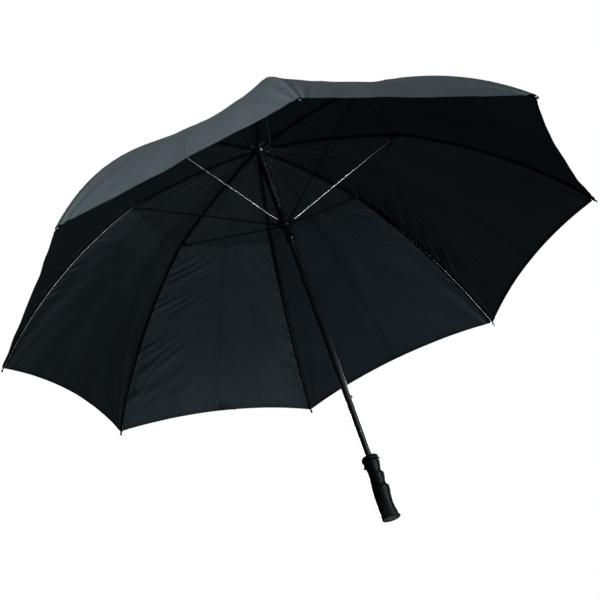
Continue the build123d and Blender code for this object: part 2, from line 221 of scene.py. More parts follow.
class Mat:
    """Small helper that builds a node tree around one Principled shader."""

    def __init__(self, name):
        self.m = bpy.data.materials.new(name)
        self.m.use_nodes = True
        self.t = self.m.node_tree
        self.p = self.t.nodes["Principled BSDF"]

    def node(self, kind, **kw):
        n = self.t.nodes.new(kind)
        for k, v in kw.items():
            if k.startswith("in_"):
                n.inputs[k[3:].replace("_", " ")].default_value = v
            else:
                setattr(n, k, v)
        return n

    def link(self, a, b):
        self.t.links.new(a, b)

    def set(self, **kw):
        for k, v in kw.items():
            self.p.inputs[k.replace("_", " ")].default_value = v
        return self

    def coords(self, kind="Object", scale=(1, 1, 1)):
        c = self.node("ShaderNodeTexCoord")
        m = self.node("ShaderNodeMapping")
        m.inputs["Scale"].default_value = scale
        self.link(c.outputs[kind], m.inputs["Vector"])
        return m.outputs["Vector"]

    def noise(self, vec, scale, detail=4, rough=0.55):
        n = self.node("ShaderNodeTexNoise")
        n.inputs["Scale"].default_value = scale
        n.inputs["Detail"].default_value = detail
        n.inputs["Roughness"].default_value = rough
        self.link(vec, n.inputs["Vector"])
        return n.outputs["Fac"]

    def remap(self, fac, lo, hi, a=0.3, b=0.7):
        n = self.node("ShaderNodeMapRange")
        n.inputs["From Min"].default_value = a
        n.inputs["From Max"].default_value = b
        n.inputs["To Min"].default_value = lo
        n.inputs["To Max"].default_value = hi
        self.link(fac, n.inputs["Value"])
        return n.outputs["Result"]

    def mix(self, fac, c1, c2):
        n = self.node("ShaderNodeMix", data_type="RGBA")
        if isinstance(fac, float):
            n.inputs[0].default_value = fac
        else:
            self.link(fac, n.inputs[0])
        for s, c in ((6, c1), (7, c2)):
            if isinstance(c, tuple):
                n.inputs[s].default_value = (*c, 1)
            else:
                self.link(c, n.inputs[s])
        return n.outputs[2]

    def math(self, op, a, b=None):
        n = self.node("ShaderNodeMath", operation=op)
        for s, x in ((0, a), (1, b)):
            if x is None:
                continue
            if isinstance(x, (int, float)):
                n.inputs[s].default_value = x
            else:
                self.link(x, n.inputs[s])
        return n.outputs[0]

    def bump(self, height, strength, distance, normal=None):
        n = self.node("ShaderNodeBump")
        n.inputs["Strength"].default_value = strength
        n.inputs["Distance"].default_value = distance
        self.link(height, n.inputs["Height"])
        if normal is not None:
            self.link(normal, n.inputs["Normal"])
        return n.outputs["Normal"]

    def edge_wear(self, lo=0.52, hi=0.62):
        g = self.node("ShaderNodeNewGeometry")
        return self.remap(g.outputs["Pointiness"], 0.0, 1.0, lo, hi)


def painted(name, base, wear, rough, coat=0.2, grain=900, bump=0.00002, metallic=0.0, worn_edges=0.0, spec=0.5, stretch=(1, 1, 1)):
    """Lacquer or plating on metal: fine orange peel, slight colour and roughness changes, worn edges where asked for."""
    m = Mat(name)
    v = m.coords(scale=stretch)
    big = m.noise(v, 18, 5)
    fine = m.noise(v, grain, 2)
    col = m.mix(m.remap(big, 0.0, 1.0), tuple(c * 0.88 for c in base), tuple(c * 1.12 for c in base))
    if worn_edges:
        edge = m.edge_wear()
        worn = m.math("MULTIPLY", m.math("MULTIPLY", edge, m.remap(m.noise(v, 140, 4), 0.0, 1.0, 0.42, 0.62)), worn_edges)
        col = m.mix(worn, col, wear)
    else:
        rub = m.remap(m.noise(v, 90, 4), 0.0, 0.12, 0.60, 0.72)
        col = m.mix(rub, col, wear)
    m.link(col, m.p.inputs["Base Color"])
    m.link(m.remap(m.noise(v, 60, 5), rough * 0.88, min(1, rough * 1.14)), m.p.inputs["Roughness"])
    m.set(Metallic=metallic)
    m.p.inputs["Specular IOR Level"].default_value = spec
    m.p.inputs["Coat Weight"].default_value = coat
    m.p.inputs["Coat Roughness"].default_value = 0.18
    if bump:
        m.link(m.bump(fine, 0.25, bump), m.p.inputs["Normal"])
    return m.m


def metal(name, base, rough, aniso=0.3, stretch=(1, 1, 12), bump=0.00002):
    m = Mat(name)
    v = m.coords(scale=stretch)
    n = m.noise(v, 260, 5, 0.6)
    m.link(m.mix(m.remap(n, 0.0, 1.0), tuple(c * 0.8 for c in base), tuple(min(1, c * 1.1) for c in base)), m.p.inputs["Base Color"])
    m.link(m.remap(n, rough * 0.75, min(1, rough * 1.4)), m.p.inputs["Roughness"])
    m.set(Metallic=1.0)
    m.p.inputs["Anisotropic"].default_value = aniso
    m.link(m.bump(n, 0.3, bump), m.p.inputs["Normal"])
    return m.m


def plastic(name, base, rough, coat=0.0, sheen=0.0, grain=700, bump=0.00005, spec=0.5, specks=0.0):
    m = Mat(name)
    v = m.coords()
    fine = m.noise(v, grain, 3, 0.6)
    mid = m.noise(v, 45, 4)
    col = m.mix(m.remap(mid, 0.0, 1.0), tuple(c * 0.88 for c in base), tuple(c * 1.15 for c in base))
    if specks:
        edge = m.edge_wear(0.53, 0.66)
        col = m.mix(m.math("MULTIPLY", edge, specks), col, tuple(min(1, c * 3.0 + 0.02) for c in base))
    m.link(col, m.p.inputs["Base Color"])
    m.link(m.remap(m.noise(v, 120, 4), rough * 0.85, min(1, rough * 1.18)), m.p.inputs["Roughness"])
    m.p.inputs["Specular IOR Level"].default_value = spec
    m.p.inputs["Coat Weight"].default_value = coat
    m.p.inputs["Coat Roughness"].default_value = 0.08
    m.p.inputs["Sheen Weight"].default_value = sheen
    m.p.inputs["Sheen Roughness"].default_value = 0.35
    m.link(m.bump(fine, 0.5, bump), m.p.inputs["Normal"])
    return m.m


def cloth_material(name, through):
    """Black woven polyester. UVs are metres on the flat cloth. through is how much light passes a single layer."""
    m = Mat(name)
    uv = m.node("ShaderNodeUVMap", uv_map="flat").outputs["UV"]
    sep = m.node("ShaderNodeSeparateXYZ")
    m.link(uv, sep.inputs[0])
    # the two thread systems, 0.55 mm apart, in anti-phase so that they read as a plain weave
    k = 2 * math.pi / 0.00055
    su = m.math("SINE", m.math("MULTIPLY", sep.outputs[0], k))
    sv = m.math("SINE", m.math("MULTIPLY", sep.outputs[1], k))
    weave = m.math("MULTIPLY", su, sv)
    # slubs: long thin streaks along each thread direction
    warp = m.node("ShaderNodeMapping")
    warp.inputs["Scale"].default_value = (420, 26, 1)
    m.link(uv, warp.inputs["Vector"])
    weft = m.node("ShaderNodeMapping")
    weft.inputs["Scale"].default_value = (26, 420, 1)
    m.link(uv, weft.inputs["Vector"])
    slub = m.math("ADD", m.noise(warp.outputs[0], 1.0, 2), m.noise(weft.outputs[0], 1.0, 2))
    soft = m.noise(m.coords(), 9, 4)
    tone = m.math("ADD", m.math("MULTIPLY", m.remap(slub, -1.0, 1.0, 0.7, 1.3), 0.5), m.math("MULTIPLY", m.remap(soft, -1.0, 1.0), 0.5))
    tone = m.remap(tone, 0.0, 1.0, -1.0, 1.0)
    # layer count of hem and seams, plus painted shade from creases, pucker hollows and pleat troughs
    layers_and_shade = m.node("ShaderNodeAttribute", attribute_name="layers_and_shade").outputs["Fac"]
    base = m.mix(tone, (0.0021, 0.0025, 0.0031), (0.0031, 0.0036, 0.0043))
    m.link(base, m.p.inputs["Base Color"])
    m.link(m.remap(slub, 0.50, 0.68, 0.7, 1.3), m.p.inputs["Roughness"])
    m.p.inputs["Specular IOR Level"].default_value = 0.56
    m.p.inputs["Specular Tint"].default_value = (0.72, 0.91, 1.0, 1)
    height = m.math("ADD", m.math("MULTIPLY", weave, 0.35), m.math("MULTIPLY", slub, 1.0))
    nb = m.bump(height, 0.55, 0.00012)
    m.link(nb, m.p.inputs["Normal"])
    tr = m.node("ShaderNodeBsdfTranslucent")
    tr.inputs["Color"].default_value = (0.62, 0.80, 1.0, 1)
    m.link(nb, tr.inputs["Normal"])
    # a second layer, as in a hem, seam or fold, lets far less through; the attribute also carries painted shade in the
    # creases, pucker hollows and pleat troughs, which darkens them the same way
    amount = m.math("MULTIPLY", m.remap(tone, through * 0.86, through * 1.14, 0.0, 1.0), m.math("POWER", 0.30, layers_and_shade))
    mix = m.node("ShaderNodeMixShader")
    m.link(amount, mix.inputs[0])
    m.link(m.p.outputs[0], mix.inputs[1])
    m.link(tr.outputs[0], mix.inputs[2])
    out = [n for n in m.t.nodes if n.type == "OUTPUT_MATERIAL"][0]
    m.link(mix.outputs[0], out.inputs["Surface"])
    return m.m


M_CLOTH = cloth_material("cloth", 0.0027)
M_STRAP = cloth_material("strap_cloth", 0.0004)
M_SHAFT = painted("shaft_paint", (0.0135, 0.0145, 0.016), (0.05, 0.05, 0.05), 0.30, coat=0.25, grain=700, stretch=(1, 1, 0.12))
M_RIB = painted("rib_lacquer", (0.0028, 0.0028, 0.003), (0.012, 0.012, 0.013), 0.34, coat=0.0, spec=0.35)
M_JOINT = painted("joint_nickel", (0.020, 0.021, 0.022), (0.30, 0.29, 0.27), 0.30, coat=0.0, metallic=0.8, worn_edges=0.7)
M_STRETCH = painted("stretcher_nickel", (0.17, 0.175, 0.18), (0.26, 0.26, 0.26), 0.22, coat=0.0, metallic=1.0, bump=0, stretch=(1, 1, 0.3))
M_SPRING = painted("spring_coat", (0.075, 0.075, 0.08), (0.12, 0.12, 0.12), 0.15, coat=0.0, metallic=1.0, bump=0)
M_ROD = painted("rod_lacquer", (0.10, 0.10, 0.105), (0.15, 0.15, 0.15), 0.20, coat=0.0, metallic=1.0, bump=0)
M_TIP = painted("tip_metal", (0.10, 0.10, 0.105), (0.22, 0.22, 0.22), 0.26, coat=0.0, metallic=1.0, bump=0.000005)
M_WIRE = metal("ring_wire", (0.70, 0.70, 0.72), 0.22)
M_STEEL = metal("lever_steel", (0.55, 0.55, 0.57), 0.30)
M_BRASS = metal("brass_rivet", (0.66, 0.50, 0.28), 0.27)
M_NOTCH = plastic("notch_plastic", (0.005, 0.005, 0.0055), 0.30, specks=0.15)
M_RUNNER = plastic("runner_plastic", (0.004, 0.004, 0.0045), 0.24, coat=0.2, specks=0.12, grain=400, bump=0.00002)
M_FERRULE = plastic("ferrule_plastic", (0.006, 0.006, 0.0065), 0.24, coat=0.3, specks=0.2)
M_DISC = plastic("disc_plastic", (0.085, 0.135, 0.175), 0.13, coat=1.0, grain=160, bump=0.0004)
M_GRIP = plastic("grip_rubber", (0.0016, 0.0021, 0.0024), 0.43, grain=1500, bump=0.00003, specks=0.08, spec=0.36)
M_BUTTON = plastic("button_plastic", (0.006, 0.0065, 0.007), 0.34, specks=0.2)
M_THREAD = plastic("thread", (0.004, 0.004, 0.005), 0.6, sheen=0.05, grain=4000)

# ------------------------------------------------------------------------------------------
# canopy geometry, millimetres in the plane of one rib (x along the rib, y across, z up)
# ------------------------------------------------------------------------------------------
PIVOT, RIB_END, FLEX, TIP = (11.0, 892.0), (291.4, 839.6), (300.9, 836.4), (650.0, 540.0)


def arc(a, b, bulge, n):
    (x0, z0), (x1, z1) = a, b
    c = math.hypot(x1 - x0, z1 - z0)
    ux, uz = (x1 - x0) / c, (z1 - z0) / c
    rad = (c * c / 4 + bulge * bulge) / (2 * bulge)
    half = math.asin(c / 2 / rad)
    t = np.linspace(-half, half, n + 1)
    s, h = c / 2 + rad * np.sin(t), rad * np.cos(t) - (rad - bulge)
    return x0 + ux * s - uz * h, z0 + uz * s + ux * h


ax_, az_ = arc(PIVOT, RIB_END, 8.6, 120)
bx_, bz_ = arc(FLEX, TIP, 29.5, 240)
RX, RZ = np.r_[ax_, bx_], np.r_[az_, bz_]


def rib_z(r):
    return np.interp(r, RX, RZ)


# smooth cloth profile over the rib: the same lift as the CAD sheet's middle
_r = np.r_[np.linspace(13, 60, 48), np.linspace(62, 649.5, 470)]
_lift = 4.0 + 2.0 * np.clip(1 - (_r - 15) / 70, 0, None) + 0.9 * np.exp(-(((_r - 288) / 45) ** 2))
_sl = (rib_z(_r + 4) - rib_z(_r - 4)) / 8
_sl[_r > 646] = _sl[_r < 646][-1]
_n = np.hypot(1, _sl)
PX, PZ = _r - _sl / _n * _lift, rib_z(_r) + _lift / _n
_k = np.ones(9) / 9
PZ[4:-4] = np.convolve(PZ, _k, "same")[4:-4]
PX[4:-4] = np.convolve(PX, _k, "same")[4:-4]
X_IN, X_SPLIT = 17.0, 301.0
HEM_U, TIP_X = 586.0, 649.0
HEM_RHO = ((TIP_X * C225 - HEM_U) ** 2 + (TIP_X * S225) ** 2) / (2 * (TIP_X * C225 - HEM_U))


def prof(x):
    return np.interp(x, PX, PZ)


def prof_len(x):
    s = np.r_[0, np.cumsum(np.hypot(np.diff(PX), np.diff(PZ)))]
    return np.interp(x, PX, s)


def hem_x(t):
    """Rib radius of the ruling that meets the scalloped hem at lateral share t (0 at the rib, 1 at mid panel)."""
    tau = 1 - np.abs(t)
    x = np.full_like(tau, HEM_U / C225)
    for _ in range(6):
        v = tau * x * S225
        x = (HEM_U + HEM_RHO - np.sqrt(HEM_RHO ** 2 - v ** 2)) / C225
    return np.minimum(x, TIP_X)


def noise1(seed, x, knots):
    """Smooth one-dimensional noise, the same every run."""
    rng = np.random.RandomState(seed)
    y = rng.uniform(-1, 1, knots + 4)
    u = (x - x.min()) / max(1e-9, x.max() - x.min()) * knots if np.ptp(x) > 0 else x * 0
    return cubic(y, u)


def cubic(y, u):
    i = np.clip(np.floor(u).astype(int), 0, len(y) - 4)
    f = u - i
    a, b, c, d = y[i], y[i + 1], y[i + 2], y[i + 3]
    return b + 0.5 * f * (c - a + f * (2 * a - 5 * b + 4 * c - d + f * (3 * (b - c) + d - a)))


def lattice(seed, u, v, nu, nv):
    """Smooth two-dimensional noise over u and v, each 0 to 1."""
    rng = np.random.RandomState(seed)
    g = rng.uniform(-1, 1, (nv + 4, nu + 4))
    uu, vv = np.clip(u, 0, 1) * nu, np.clip(v, 0, 1) * nv
    i = np.clip(np.floor(vv).astype(int), 0, nv)
    f = vv - i
    rows = [cubic_rows(g, i + k, uu) for k in range(4)]
    a, b, c, d = rows
    return b + 0.5 * f * (c - a + f * (2 * a - 5 * b + 4 * c - d + f * (3 * (b - c) + d - a)))


def cubic_rows(g, i, u):
    j = np.clip(np.floor(u).astype(int), 0, g.shape[1] - 4)
    f = u - j
    a, b, c, d = g[i, j], g[i, j + 1], g[i, j + 2], g[i, j + 3]
    return b + 0.5 * f * (c - a + f * (2 * a - 5 * b + 4 * c - d + f * (3 * (b - c) + d - a)))


# how the cloth puckers beside each rib: {rib: ((height, reach, slant, spacing) towards the next rib, the same towards the last rib)}
PUCKER = {
    1: ((1.6, 34, 0.8, 17), (1.2, 30, 0.9, 18)),
    2: ((1.2, 44, 1.6, 24), (6.4, 50, 1.3, 27)),
    3: ((1.9, 34, 0.7, 16), (1.6, 32, 0.8, 17)),
    4: ((1.3, 34, 0.8, 18), (3.2, 78, 0.8, 25)),
    5: ((1.2, 32, 0.8, 17), (2.2, 36, 1.2, 20)),
    6: ((0.9, 30, 0.8, 18), (0.9, 34, 0.9, 19)),
    7: ((1.0, 40, 1.0, 20), (1.1, 42, 1.0, 21)),
    8: ((1.5, 46, 0.9, 19), (1.0, 34, 0.9, 18)),
}
# storage creases down each panel: place across the panel, height in mm
CREASES = ((0.05, 0.42), (-0.46, 0.34), (0.53, 0.30))
CREASE_A = (0.95, 0.54, 0.47)        # the same places as shares of a half panel
HOLLOW = 14.5                        # depth of the hollow between two ribs, mm


def displacement(k, x, t):
    """Height of the cloth above its taut shape, in mm, at rib radius x and signed lateral share t of gore k.
    Also painted shade: the share of light kept back along the creases, in the hollows of the puckers and in the troughs
    of the crown pleats."""
    side = np.where(t >= 0, 1, -1)
    a = np.abs(t)
    d = a * x * S225                    # distance from the rib along the ruling
    # panel that this half belongs to, and its own coordinate -1..1 across the panel
    panel = np.where(t >= 0, k, (k - 2) % N + 1)
    w = np.where(t >= 0, a - 1, 1 - a)
    out = np.zeros_like(x)
    painted_shade = np.zeros_like(x)
    s = (x - X_IN) / (TIP_X - X_IN)
    for p in (k, (k - 2) % N + 1):
        m = panel == p
        if not m.any():
            continue
        u01, v01 = (w[m] + 1) / 2, s[m]
        edge = np.clip(1 - w[m] ** 4, 0, 1)
        slack = smoothstep(x[m], 60, 330)
        # the hollow between the ribs, where the cloth is pulled tight from crown to hem, and broad soft billows
        # and the hem itself stays nearly taut from tip to tip
        hem_share = {1: 0.60, 2: 0.35, 5: 0.95, 8: 0.65}.get(p, 0.25) * smoothstep(x[m], 420, 592)
        out[m] -= HOLLOW * (1 - w[m] ** 2) * np.clip((x[m] - 40) / 330, 0, 1) ** 1.3 * (1 + 0.10 * math.sin(2.4 * p)) * (1 - hem_share)
        out[m] += 2.3 * lattice(300 + p, u01, v01, 5, 5) * edge * slack
        out[m] += 1.15 * lattice(330 + p, u01, v01, 11, 7) * edge * slack
        # soft ripples that lean from the ribs towards the crown
        lean = v01 * 9.0 + np.abs(w[m]) * -2.4
        out[m] += 0.42 * np.sin(2 * math.pi * (lean + 0.8 * lattice(345 + p, u01, v01, 4, 4))) * edge * slack * smoothstep(np.abs(w[m]), 0.1, 0.7)
        # fine radial pleats that fan out of the crown
        fan = lattice(360 + p, u01, v01 * 0.6, 26, 3)
        out[m] += 0.75 * fan * edge * (1 - smoothstep(x[m], 120, 320)) * smoothstep(x[m], 20, 45)
        # painted shade: the troughs of the crown pleats let less light through
        painted_shade[m] += 0.35 * np.clip(-fan, 0, 1) * edge * (1 - smoothstep(x[m], 70, 230)) * smoothstep(x[m], 24, 45)
        # storage creases: sharp little ridges down the panel
        for c, h in CREASES:
            dist = (w[m] - c) * x[m] * S225
            on = smoothstep(x[m], 130, 230)
            out[m] += h * np.exp(-np.abs(dist) / 2.6) * on * edge
            # painted shade: a thin dark line down each crease
            painted_shade[m] += (0.55 if abs(c) < 0.1 else 0.28) * np.exp(-(dist / 0.9) ** 2) * on
        # long drag lines from the tips up into the panel
        for q, sg in ((0, -1), (1, 1)):
            dd = (1 - w[m] * sg) * x[m] * S225
            back = (TIP_X - x[m])
            phase = dd / np.maximum(back * 0.55 + 26, 1)
            drag = np.sin(phase * 9.0 + 2.2 * p + q) * np.exp(-(phase / 0.75) ** 2) * np.exp(-back / 150.0)
            out[m] += 2.1 * drag * smoothstep(dd, 2, 14) * (1 - smoothstep(dd, 150, 210))
    # puckers beside the seam, slanting outwards, strongest over the flexible part of the rib
    for sg, (amp, reach, slant, pitch) in ((1, PUCKER[k][0]), (-1, PUCKER[k][1])):
        m = side == sg
        if not m.any():
            continue
        xs, ds = x[m], d[m]
        wob = 11 * noise1(500 + 10 * k + sg, xs, 9)
        ph = 2 * math.pi * (xs + slant * ds + wob) / pitch
        ph2 = 2 * math.pi * (xs + 0.6 * slant * ds - wob) / (pitch * 1.75)
        g = smoothstep(xs, 300, 350) * (1 - smoothstep(xs, 600, 645)) + 0.3 * smoothstep(xs, 50, 120) * (1 - smoothstep(xs, 300, 340))
        mod = np.clip(0.5 + 0.75 * noise1(700 + 10 * k + sg, xs, 13), 0.05, 1.3)
        env = np.exp(-(ds / reach) ** 1.5) * smoothstep(ds, 1.5, 9) * (1 - smoothstep(a[m], 0.72, 0.97))
        # the crests are narrower than the hollows, as in gathered cloth
        wave = 0.75 * (np.abs(np.sin(ph / 2)) ** 0.8 * 2 - 1.2) + 0.55 * np.sin(ph2)
        out[m] += amp * g * mod * env * wave
        # painted shade: the hollows of the puckers let less light through
        painted_shade[m] += min(1.6, 0.34 * amp) * g * mod * env * smoothstep(-wave, 0.0, 0.9)
    return out, painted_shade


def lateral_cols(lo, hi, lap, width_mm=230.0):
    """Lateral shares of the columns from lo to hi, dense beside the seam and the creases, running just past mid panel."""
    near = np.array([0, 0.6, 1.4, 2.2, 3.0, 3.8, 4.6, 5.8, 7.0, 9.0, 11.5, 14.5, 18]) / width_mm
    far = np.linspace(18 / width_mm, 1, 50)[1:-1]
    fold = np.array([c + q for c in CREASE_A for q in np.array([-3.4, -2.0, -1.1, -0.5, 0, 0.5, 1.1, 2.0, 3.4]) / width_mm])
    far = far[np.min(np.abs(far[:, None] - fold[None, :]), axis=1) > 2.0 / width_mm]
    one = np.unique(np.r_[near, far, fold, 1.0, 1.0 + 1.1 / width_mm])
    if lo < 0 and hi > 0 and lap is None:
        return np.r_[-one[:0:-1], one]
    return one


def cloth_surface(k, X, T, lift, outer):
    """Points of gore k's cloth in metres, and the layer count with painted shade added, for rib radii X and signed
    lateral shares T.
    """
    a = np.abs(T)
    # the crease over the rib is rounded over a few millimetres
    d = a * X * S225
    rnd = np.sqrt(d * d + 2.0 ** 2)
    ar = rnd / np.maximum(X * S225, 1e-6)
    x0 = X - ar * X * S225 * S225
    y0 = T * X * S225 * C225
    z0 = prof(X) + 0 * a
    # surface normal of the taut sheet, for the displacement
    slope = (prof(X + 1) - prof(X - 1)) / 2
    # mid direction of the panel this half belongs to
    sg = np.where(T >= 0, 1.0, -1.0)
    nx = -slope / C225 * C225
    ny = -slope / C225 * S225 * sg
    nz = np.ones_like(slope)
    soft = smoothstep(d, 0, 6)
    ny = ny * soft
    ln = np.sqrt(nx * nx + ny * ny + nz * nz)
    disp, painted_shade = displacement(k, X, T)
    disp = disp + lift + 0.06 * smoothstep(a, 0.985, 0.998) * (T > 0)
    hem_back = (hem_x(np.clip(a, 0, 1)) - X) * 1.25            # mm from the hem along the cloth
    layers_and_shade = np.zeros_like(X)
    if outer:
        # doubled hem with its stitch line
        disp = disp + 0.28 * (1 - smoothstep(hem_back, 5.5, 6.8)) - 0.22 * np.exp(-((hem_back - 4.9) / 0.9) ** 2)
        layers_and_shade = np.maximum(layers_and_shade, 0.9 * (1 - smoothstep(hem_back, 4.8, 6.4)))
    # seam allowance and its stitching
    seam_w = 4.4
    layers_and_shade = np.maximum(layers_and_shade, 0.75 * (1 - smoothstep(d, seam_w - 1.2, seam_w)) * (X > 22))
    disp = disp - 0.20 * np.exp(-((d - 3.4) / 0.8) ** 2) * (X > 40)
    # the painted shade joins the real layer count of hem and seams
    layers_and_shade = layers_and_shade + painted_shade
    # crown: the cloth gathers under the ferrule's flange, several layers thick
    layers_and_shade = layers_and_shade + 1.4 * (1 - smoothstep(X, 24, 44))
    x = x0 + nx / ln * disp
    y = y0 + ny / ln * disp
    z = z0 + nz / ln * disp
    A = math.radians(45 * (k - 1))
    ca, sa = math.cos(A), math.sin(A)
    v = np.stack([(x * ca - y * sa) * MM, (x * sa + y * ca) * MM, z * MM], -1)
    return v, layers_and_shade


def gore_piece(name, k, part):
    """part: inner (whole width), outer_a (towards the next rib) or outer_b (towards the last rib)."""
    LAP = 6.0
    if part == "inner":
        t = lateral_cols(-1, 1, None)
        rows = np.r_[np.linspace(X_IN, 45, 12), np.linspace(45, X_SPLIT + 0.8, 78)[1:]]
        X = np.repeat(rows[:, None], len(t), 1)
        T = np.repeat(t[None, :], len(rows), 0)
        lift = np.zeros_like(X)
    else:
        one = lateral_cols(0, 1, 0)
        sgn = 1 if part == "outer_a" else -1
        # the seam allowance: the sheet runs on past the rib plane by LAP
        neg = np.array([-LAP, -4.6, -3.0, -1.4, -0.5])
        t = np.r_[neg / 230.0, one]
        s = np.r_[np.linspace(0, 0.93, 104), 0.945, 0.955, 0.963, 0.969, 0.9745, 0.9785, 0.982, 0.9865, 0.991, 0.9945, 0.9975, 1.0]
        hx = hem_x(np.clip(np.abs(t), 0, 1))
        X = (X_SPLIT - 0.8) + (hx[None, :] - (X_SPLIT - 0.8)) * s[:, None]
        T = np.repeat(t[None, :], len(s), 0)
        # fixed width of the lap near the rib, whatever the radius
        dd = T * 230.0
        near = np.abs(dd) <= 18.0
        wfix = np.where(near, dd / np.maximum(X * S225, 1), 0)
        edge_share = 18.0 / np.maximum(X * S225, 1)
        far_share = edge_share + (np.abs(T) - 18 / 230.0) / (1 - 18 / 230.0) * (1 - edge_share)
        T = np.where(near, wfix, np.sign(T) * far_share)
        T = T * sgn
        lift = 0.12 * (1 - smoothstep(X, X_SPLIT + 2, X_SPLIT + 16))
        if part == "outer_b":
            # this half laps over the other one at the seam
            lift = lift + 0.45 * (1 - smoothstep(np.abs(T) * X * S225, 7, 20))
    v, layers_and_shade = cloth_surface(k, X, T, lift, part != "inner")
    v = v.reshape(-1, 3)
    uv = np.stack([(T * X * S225) * MM, prof_len(X) * MM], -1).reshape(-1, 2)
    flip = part == "outer_b"
    f = grid_faces(X.shape[0], X.shape[1], flip=flip)
    o = new_mesh(name, v, f, M_CLOTH, uvs=uv)
    # the attribute holds the real layers and the painted shade
    at = o.data.attributes.new("layers_and_shade", "FLOAT", "POINT")
    at.data.foreach_set("value", layers_and_shade.astype(np.float32).ravel())
    area = sum(p.area for p in o.data.polygons)
    return o, area


CH_IN = math.atan2(PIVOT[1] - RIB_END[1], RIB_END[0] - PIVOT[0])
for k in range(1, N + 1):
    inner, area = gore_piece(f"canopy_inner_{k}", k, "inner")
    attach(inner, f"rib_{k}")
    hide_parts(f"canopy_gore_{k}")
    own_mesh(inner)
    for part, sg in (("outer_a", 1), ("outer_b", -1)):
        o, area = gore_piece(f"canopy_{part}_{k}", k, part)
        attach(o, f"rod_{k}")
        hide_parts(f"canopy_gore_{k}")
        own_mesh(o)

# ------------------------------------------------------------------------------------------
# tie strap: its sewn end lies folded against the inside of the hem, in the panel between ribs 3 and 4
# ------------------------------------------------------------------------------------------


def thin_slab(name, top, bottom, mat):
    """Closed thin piece between two grids of the same size."""
    r, c = top.shape[:2]
    n = r * c
    v = np.vstack([top.reshape(-1, 3), bottom.reshape(-1, 3)])
    f = grid_faces(r, c) + [tuple(i + n for i in q)[::-1] for q in grid_faces(r, c)]
    rim = [j for j in range(c)] + [i * c + c - 1 for i in range(1, r)] + [(r - 1) * c + j for j in range(c - 2, -1, -1)] + [i * c for i in range(r - 2, 0, -1)]
    f += [(rim[i], rim[i] + n, rim[(i + 1) % len(rim)] + n, rim[(i + 1) % len(rim)]) for i in range(len(rim))]
    o = new_mesh(name, v, f, mat, uvs=np.vstack([top.reshape(-1, 3)[:, :2]] * 2))
    import bmesh
    b = bmesh.new()
    b.from_mesh(o.data)
    bmesh.ops.recalc_face_normals(b, faces=b.faces)
    b.to_mesh(o.data)
    b.free()
    return o


su = np.linspace(0, 1, 40)
sT = 0.992 - 0.150 * su
height = 13.0 + 4.5 * np.sin(math.pi * np.clip(su / 0.62, 0, 1)) - 15.0 * smoothstep(su, 0.42, 1.0)
sv = np.linspace(0, 1, 12)
sX = (hem_x(sT) - 0.6)[None, :] - (height / 1.25)[None, :] * sv[:, None]
sTT = np.repeat(sT[None, :], 12, 0)
roll = 1.1 * np.exp(-((su - 0.0) / 0.10) ** 2)[None, :] + 0.8 * np.sin(math.pi * sv)[:, None] * (0.6 + 0.5 * np.sin(9 * su))[None, :]
lower, _ = cloth_surface(3, sX, sTT, -1.5 - roll, True)
upper, _ = cloth_surface(3, sX, sTT, -0.6 - roll * 0.9, True)
strap = thin_slab("tie_strap", upper, lower, M_STRAP)
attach(strap, "rod_3")
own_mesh(strap)

# ------------------------------------------------------------------------------------------
# frame: CAD pieces keep their shape and get their finish
# ------------------------------------------------------------------------------------------


def finish_cad(node, mat):
    o = CAD[node]
    o.data.materials.clear()
    o.data.materials.append(mat)


for node, mat in (("shaft_tube", M_SHAFT), ("top_notch", M_NOTCH), ("notch_wire", M_WIRE), ("ferrule_spike", M_FERRULE),
                  ("under_disc", M_DISC), ("runner", M_RUNNER), ("runner_wire", M_WIRE),
                  ("release_lever", M_STEEL)):
    finish_cad(node, mat)
for k in range(1, N + 1):
    for stem, mat in (("inner_rib", M_RIB), ("rib_joint", M_JOINT), ("outer_rod", M_ROD), ("rib_tip", M_TIP), ("stretcher", M_STRETCH)):
        finish_cad(f"{stem}_{k}", mat)

# ------------------------------------------------------------------------------------------
# pull spring: a clean wound wire between the notch and the runner
# ------------------------------------------------------------------------------------------
z_lo, z_hi, turns = 729.6, 882.6, 18
n_pts = turns * 26
u = np.linspace(0, 1, n_pts + 1)
# the turns are nearly evenly spaced, a little closer together in the middle
zz = z_lo + 0.8 + (z_hi - z_lo - 1.6) * (u + 0.012 * np.sin(2 * math.pi * u))
ang = 2 * math.pi * turns * u
spring = tube("coil_spring", np.stack([8.2 * np.cos(ang), 8.2 * np.sin(ang), zz], -1) * MM, 0.78 * MM, M_SPRING, seg=10)
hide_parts("pull_spring")
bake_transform(spring)

